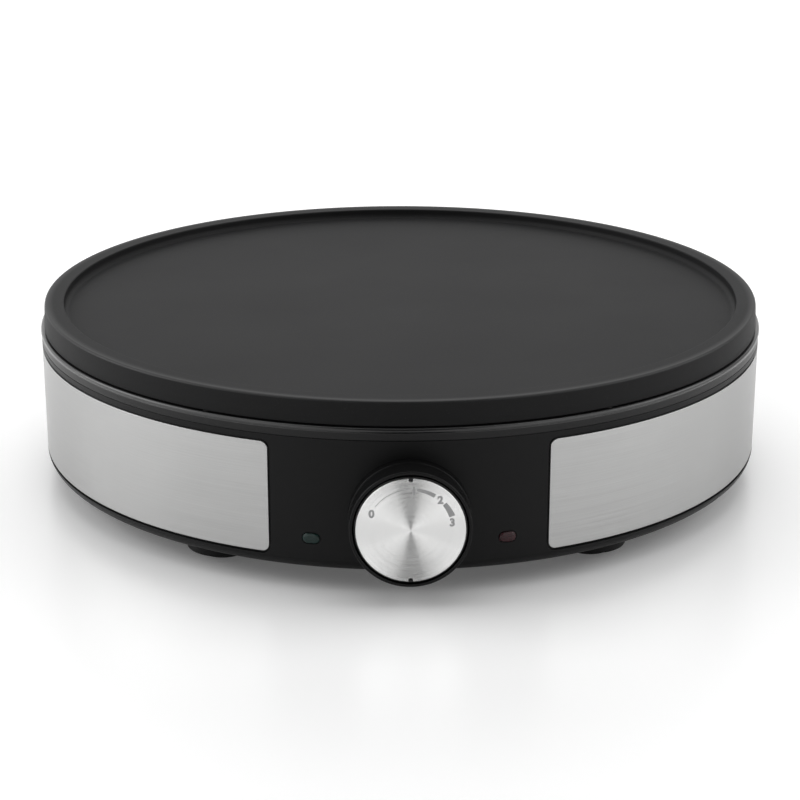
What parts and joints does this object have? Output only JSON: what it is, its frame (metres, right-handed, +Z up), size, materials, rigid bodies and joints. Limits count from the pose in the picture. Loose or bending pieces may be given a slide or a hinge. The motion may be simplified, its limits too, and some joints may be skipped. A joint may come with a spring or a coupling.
{
  "type": "electric crepe maker",
  "caption": "Round electric crepe griddle: low-rimmed non-stick plate on a black drum base with brushed steel side panels, a front control knob and pilot lights.",
  "frame": {"origin": "on the table, under the centre of the round plate", "axes": "+Z up, -Y out of the knob at the front, +X to the right as seen from the front"},
  "size_m": [0.3206, 0.348, 0.078],
  "materials": {
    "nonstick_coating": "matt non-stick coating on a cast plate",
    "black_plastic": "fine satin moulded heat-resistant plastic",
    "ring_plastic": "semi-gloss moulded heat-resistant plastic",
    "knob_plastic": "gloss moulded plastic",
    "brushed_steel": "brushed stainless sheet",
    "spun_aluminium": "spun face with a conical sheen",
    "plated_steel": "zinc-plated",
    "aluminised_steel": "rolled aluminised sheet",
    "element_sheath": "heat-darkened metal sheath",
    "steatite": "unglazed steatite",
    "brass": "bright brass",
    "copper": "drawn copper",
    "rubber": "matt moulded rubber",
    "green_lens": "translucent moulded plastic",
    "red_lens": "translucent moulded plastic",
    "lamp_glass": "clear glass",
    "holder_plastic": "moulded plastic",
    "lead_brown": "silicone insulation",
    "lead_grey": "silicone insulation",
    "lead_blue": "silicone insulation",
    "lead_green": "silicone insulation",
    "lead_white": "silicone insulation"
  },
  "bodies": {
    "base": {"plate_pads": "steatite", "base_ring": "ring_plastic", "ring_screws": "plated_steel", "housing": "black_plastic", "left_panel": "brushed_steel", "right_panel": "brushed_steel", "panel_push_nuts": "plated_steel", "bottom_cover": "black_plastic", "cover_screws": "plated_steel", "front_left_foot": "rubber", "front_right_foot": "rubber", "rear_left_foot": "rubber", "rear_right_foot": "rubber", "knob_bezel": "knob_plastic", "thermostat_case": "steatite", "thermostat_cover": "steatite", "thermostat_bracket": "plated_steel", "thermostat_screws": "plated_steel", "lever_pin": "brass", "fixed_contact": "brass", "capillary_sensor": "copper", "sensor_clip": "plated_steel", "heating_element": "element_sheath", "element_end_seals": "steatite", "element_pins": "plated_steel", "element_supports": "plated_steel", "reflector_pan": "aluminised_steel", "pan_screws": "plated_steel", "heat_shield": "aluminised_steel", "shield_spacers": "plated_steel", "shield_rivets": "plated_steel", "green_lens": "green_lens", "red_lens": "red_lens", "green_lamp": "lamp_glass", "red_lamp": "lamp_glass", "green_lamp_holder": "holder_plastic", "red_lamp_holder": "holder_plastic", "thermal_fuse": "plated_steel", "fuse_strap": "plated_steel", "terminal_block": "steatite", "terminal_screws": "brass", "block_screws": "plated_steel", "earth_tag": "brass", "earth_screw": "plated_steel", "cord_gland": "rubber", "live_lead": "lead_brown", "switched_lead": "lead_grey", "fused_lead": "lead_grey", "neutral_lead": "lead_blue", "earth_lead": "lead_green", "green_lamp_leads": "lead_white", "red_lamp_leads": "lead_white"},
    "plate": {"baking_plate": "nonstick_coating"},
    "knob": {"knob_body": "knob_plastic", "knob_disc": "spun_aluminium", "knob_clip": "plated_steel", "thermostat_shaft": "plated_steel", "thermostat_cam": "steatite"},
    "lever": {"switch_lever": "copper"}
  },
  "joints": [
    {"name": "plate_lift", "type": "slide", "parent": "base", "child": "plate", "axis": [0, 0, 1], "range_m": [0, 0.06]},
    {"name": "knob_turn", "type": "hinge", "parent": "base", "child": "knob", "pos_m": [0, -0.165, 0.0317], "axis": [0, -1, 0], "range_deg": [-65, 78]},
    {"name": "lever_tilt", "type": "hinge", "parent": "base", "child": "lever", "pos_m": [-0.0105, -0.137, 0.03686], "axis": [0, -1, 0], "range_deg": [-3.95, 4.75]}
  ],
  "couplings": [
    {"joint": "lever_tilt", "follows": "knob_turn", "ratio": 0.059048}
  ]
}
